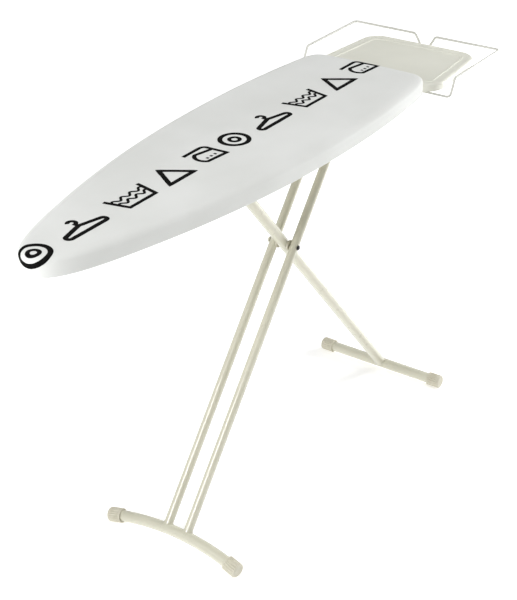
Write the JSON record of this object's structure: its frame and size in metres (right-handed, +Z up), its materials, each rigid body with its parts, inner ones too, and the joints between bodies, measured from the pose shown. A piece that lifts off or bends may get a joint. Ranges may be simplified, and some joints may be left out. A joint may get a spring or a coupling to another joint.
{
  "type": "ironing board",
  "caption": "Free-standing folding ironing board: padded tapered top with a cloth cover, scissor tube legs on a height slide, arched and straight feet, and an iron rest with wire wings.",
  "frame": {"origin": "on the floor, below the middle of the whole object's box", "axes": "+X from the board's nose to the iron rest, +Y across the board, +Z up"},
  "size_m": [1.5522, 0.4458, 0.9643],
  "materials": {
    "cover_cloth": "plain woven cotton, matt",
    "felt": "needled felt",
    "cream_paint": "smooth cream powder coat, satin",
    "tray": "moulded heat-resistant plastic, fine grain",
    "cap_plastic": "moulded plastic, matt",
    "black_steel": "black oxide",
    "zinc_steel": "zinc plated"
  },
  "bodies": {
    "board": {"cover": "cover_cloth", "pad": "felt", "mesh_top": "cream_paint", "rim": "cream_paint", "brace_nose": "cream_paint", "brace_middle": "cream_paint", "brace_tail": "cream_paint", "slide_rail_left": "cream_paint", "slide_rail_right": "cream_paint", "height_rack": "zinc_steel", "hinge_block_left": "cap_plastic", "hinge_block_right": "cap_plastic", "rest_arm_left": "cream_paint", "rest_arm_right": "cream_paint", "iron_tray": "tray", "rest_screw_1": "zinc_steel", "rest_screw_2": "zinc_steel", "rest_screw_3": "zinc_steel", "rest_screw_4": "zinc_steel", "rest_wire": "cream_paint"},
    "front_leg": {"front_foot": "cream_paint", "front_cap_left": "cap_plastic", "front_cap_right": "cap_plastic", "front_tube_left": "cream_paint", "front_tube_right": "cream_paint", "front_crossbar": "cream_paint", "pivot_bolt": "black_steel", "pivot_nut": "cream_paint", "pivot_spacer_left": "cap_plastic", "pivot_spacer_right": "cap_plastic"},
    "rear_leg": {"rear_tube": "cream_paint", "rear_foot": "cream_paint", "rear_cap_left": "cap_plastic", "rear_cap_right": "cap_plastic", "rear_sleeve": "cream_paint", "pivot_bush": "cap_plastic"},
    "slide": {"slide_axle": "zinc_steel", "slide_shoe_left": "cap_plastic", "slide_shoe_right": "cap_plastic", "lever_spring": "zinc_steel"},
    "lever": {"height_lever": "zinc_steel", "lever_grip": "cap_plastic"}
  },
  "joints": [
    {"name": "fold", "type": "hinge", "parent": "board", "child": "front_leg", "pos_m": [0.34082, 0, 0.92], "axis": [0, 1, 0], "range_deg": [0, 47.75]},
    {"name": "scissor_pivot", "type": "hinge", "parent": "front_leg", "child": "rear_leg", "pos_m": [0.09285, 0, 0.6165], "axis": [0, 1, 0], "range_deg": [-95.6, 0]},
    {"name": "slide_turn", "type": "hinge", "parent": "rear_leg", "child": "slide", "pos_m": [-0.15512, 0, 0.92], "axis": [0, 1, 0], "range_deg": [0, 47.8]},
    {"name": "lever_squeeze", "type": "hinge", "parent": "slide", "child": "lever", "pos_m": [-0.15512, 0, 0.92], "axis": [0, 1, 0], "range_deg": [0, 12], "stiffness_Nm_per_rad": 0.4, "springref_deg": -14.32}
  ],
  "couplings": [
    {"joint": "scissor_pivot", "follows": "fold", "ratio": -2},
    {"joint": "slide_turn", "follows": "fold", "ratio": 1}
  ]
}
